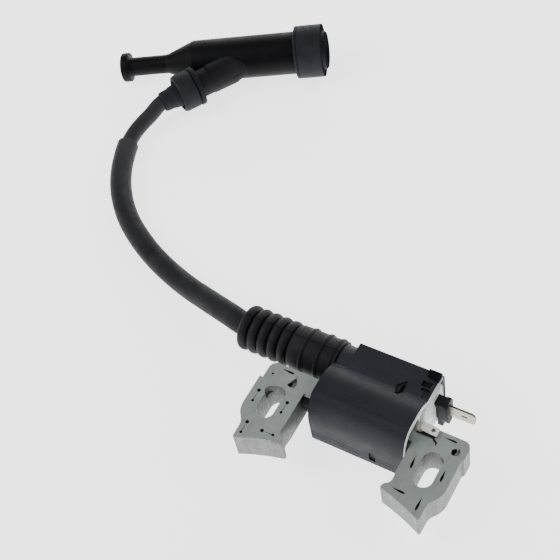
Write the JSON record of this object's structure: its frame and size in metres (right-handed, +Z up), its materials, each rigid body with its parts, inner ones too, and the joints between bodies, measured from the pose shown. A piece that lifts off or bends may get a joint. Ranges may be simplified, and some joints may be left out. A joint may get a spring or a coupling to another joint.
{
  "type": "ignition coil",
  "caption": "Small-engine ignition coil: potted module on a U-shaped laminated core, with a ribbed boot, a high-tension lead and an angled plug cap that swivels on the lead.",
  "frame": {"origin": "centre of the footprint of the coil itself (core, case and boot, without the lead and its cap), on the plane that the case's lower edge lies on", "axes": "+X along the core's back bar towards the stop terminal's leg, +Y away from the flywheel, +Z up through the lamination stack"},
  "size_m": [0.2325, 0.2037, 0.025],
  "materials": {
    "laminated_steel": "dull, oiled",
    "case_plastic": "fine moulded texture",
    "cap_plastic": "semi-gloss",
    "rubber": "matte",
    "slate_rubber": "matte",
    "lead_jacket": "matte",
    "potting_resin": "glossy where it set",
    "bobbin_nylon": "satin",
    "enamelled_copper": "enamelled",
    "brass": "satin",
    "tinned_steel": "bright tin",
    "ceramic": "glazed",
    "board_laminate": "satin",
    "component_epoxy": "matte"
  },
  "bodies": {
    "coil": {"core_bar_and_right_leg": "laminated_steel", "core_left_leg": "laminated_steel", "coil_case": "case_plastic", "potting_resin": "potting_resin", "primary_bobbin": "bobbin_nylon", "primary_winding": "enamelled_copper", "secondary_bobbin": "bobbin_nylon", "secondary_winding_1": "enamelled_copper", "secondary_winding_2": "enamelled_copper", "secondary_winding_3": "enamelled_copper", "secondary_winding_4": "enamelled_copper", "secondary_winding_5": "enamelled_copper", "secondary_winding_6": "enamelled_copper", "circuit_board": "board_laminate", "darlington_transistor": "component_epoxy", "flyback_diode": "component_epoxy", "base_resistor": "ceramic", "filter_capacitor": "ceramic", "high_tension_pin": "brass", "terminal_block": "case_plastic", "stop_terminal": "tinned_steel", "ground_strap": "tinned_steel", "ribbed_boot": "rubber", "lead_insulation": "lead_jacket", "lead_conductor": "enamelled_copper", "lead_sleeve": "lead_jacket"},
    "plug_cap": {"cap_body": "cap_plastic", "lead_grommet": "slate_rubber", "plug_seal": "slate_rubber", "plug_clip": "tinned_steel", "contact_screw": "brass", "suppression_resistor": "ceramic"}
  },
  "joints": [
    {"name": "cap_swivel", "type": "hinge", "parent": "coil", "child": "plug_cap", "pos_m": [-0.13967, 0.12523, 0.01008], "axis": [0.537, 0.8431, 0.0289], "range_deg": [-90, 90]}
  ]
}
